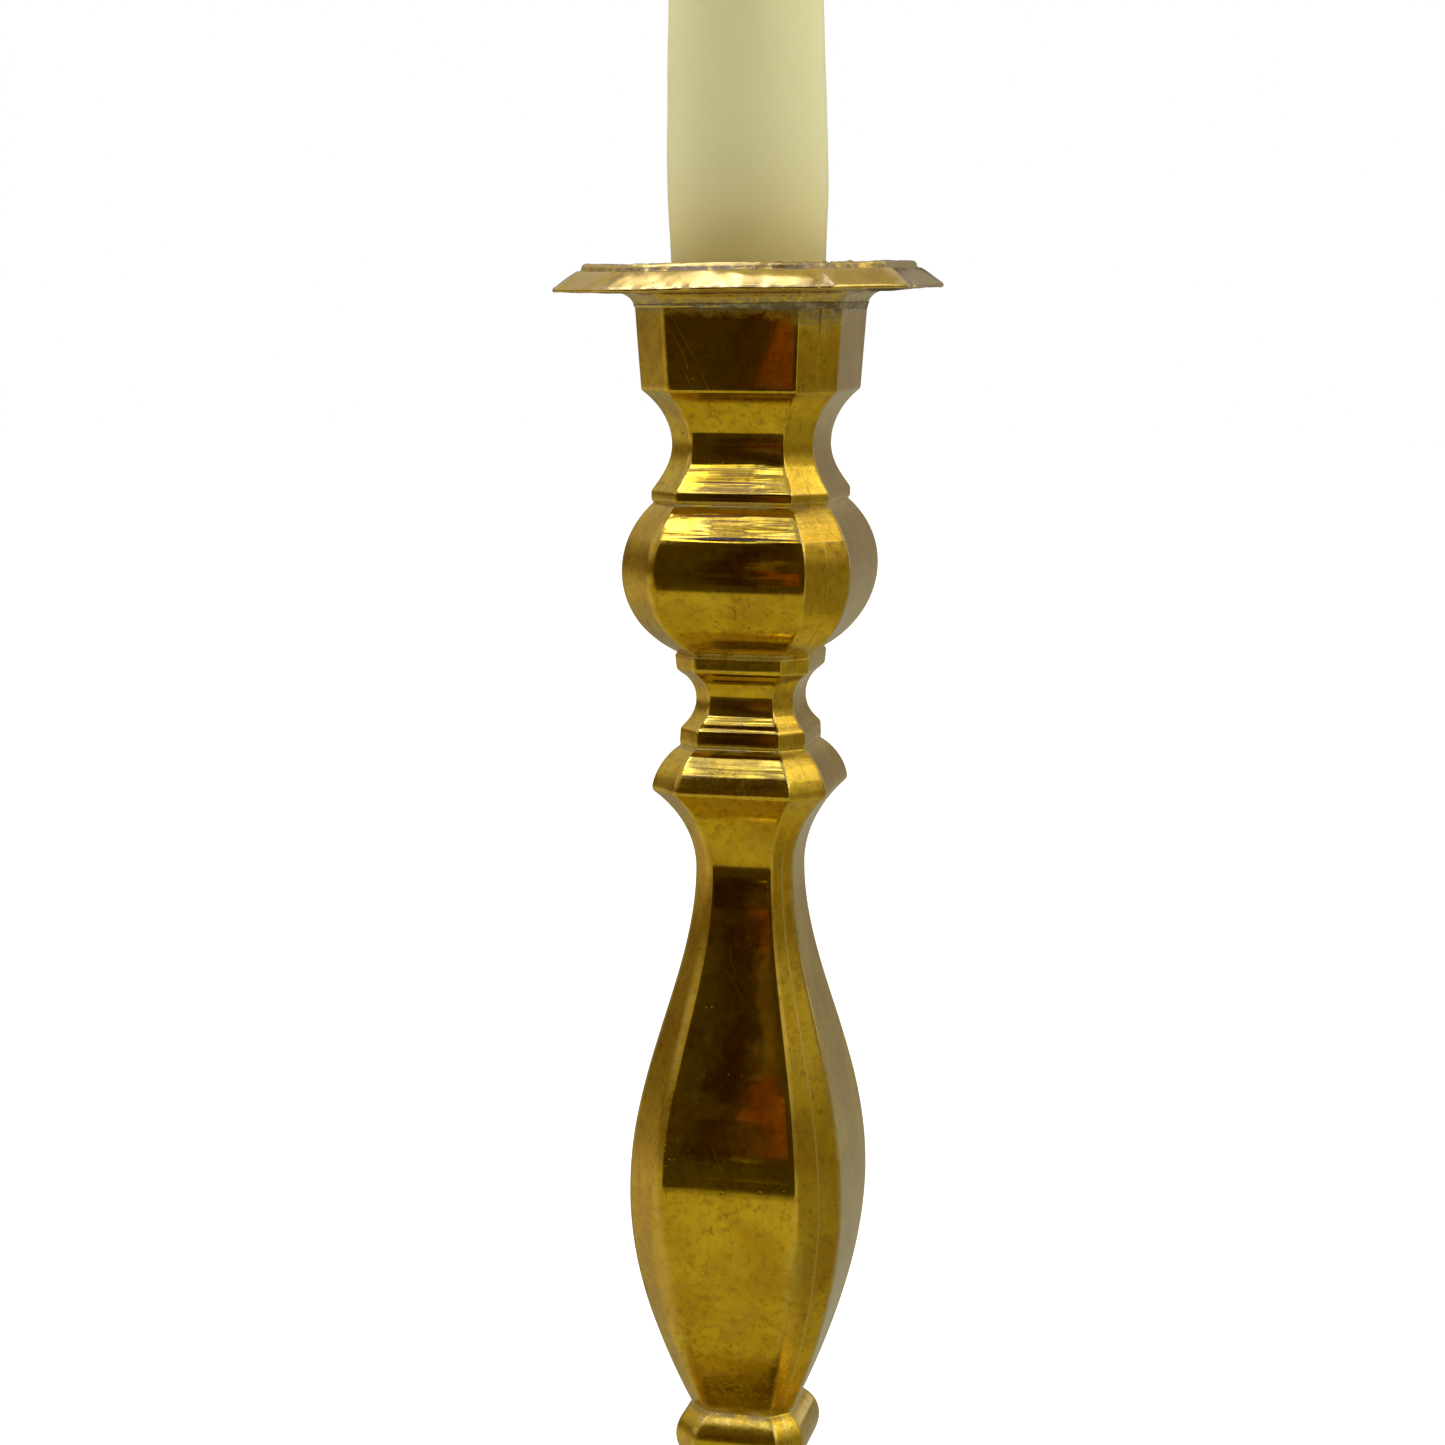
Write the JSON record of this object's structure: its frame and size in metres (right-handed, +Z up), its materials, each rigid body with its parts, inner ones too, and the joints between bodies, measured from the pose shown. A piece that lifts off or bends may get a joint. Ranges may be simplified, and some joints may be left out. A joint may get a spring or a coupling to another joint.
{
  "type": "altar candlestick",
  "caption": "Seamed brass candlestick with a canted-square baluster stem, drip pan, push-up ejector and a removable taper candle.",
  "frame": {"origin": "centre of the foot's underside, on the table", "axes": "+Z up along the stem; the stem's front flat faces -Y, and the brazed seam runs down the chamfers at +X -Y and -X +Y"},
  "size_m": [0.104, 0.104, 0.4265],
  "materials": {
    "cast_brass": "old cast brass, hand polished, with pits, file marks and dull residue in the creases",
    "turned_brass": "turned brass, dulled",
    "braze": "paler brazing metal, filed flush",
    "solder": "grey-green soft solder, lumpy",
    "steel": "dull drawn steel",
    "wax": "smooth ivory candle wax",
    "cotton": "waxed plaited cotton"
  },
  "bodies": {
    "stand": {"base": "cast_brass", "stem_half_front": "cast_brass", "stem_half_back": "cast_brass", "seam_braze": "braze", "drip_pan": "cast_brass", "pan_solder": "solder", "stem_tenon": "turned_brass", "base_washer": "steel", "base_nut": "turned_brass"},
    "ejector": {"ejector_rod": "steel", "ejector_disc": "turned_brass", "ejector_button": "turned_brass"},
    "candle_and_wick": {"candle": "wax", "wick": "cotton"}
  },
  "joints": [
    {"name": "ejector_push", "type": "slide", "parent": "stand", "child": "ejector", "axis": [0, 0, 1], "range_m": [0, 0.017]},
    {"name": "candle_lift", "type": "slide", "parent": "ejector", "child": "candle_and_wick", "axis": [0, 0, 1], "range_m": [0, 0.03]}
  ]
}
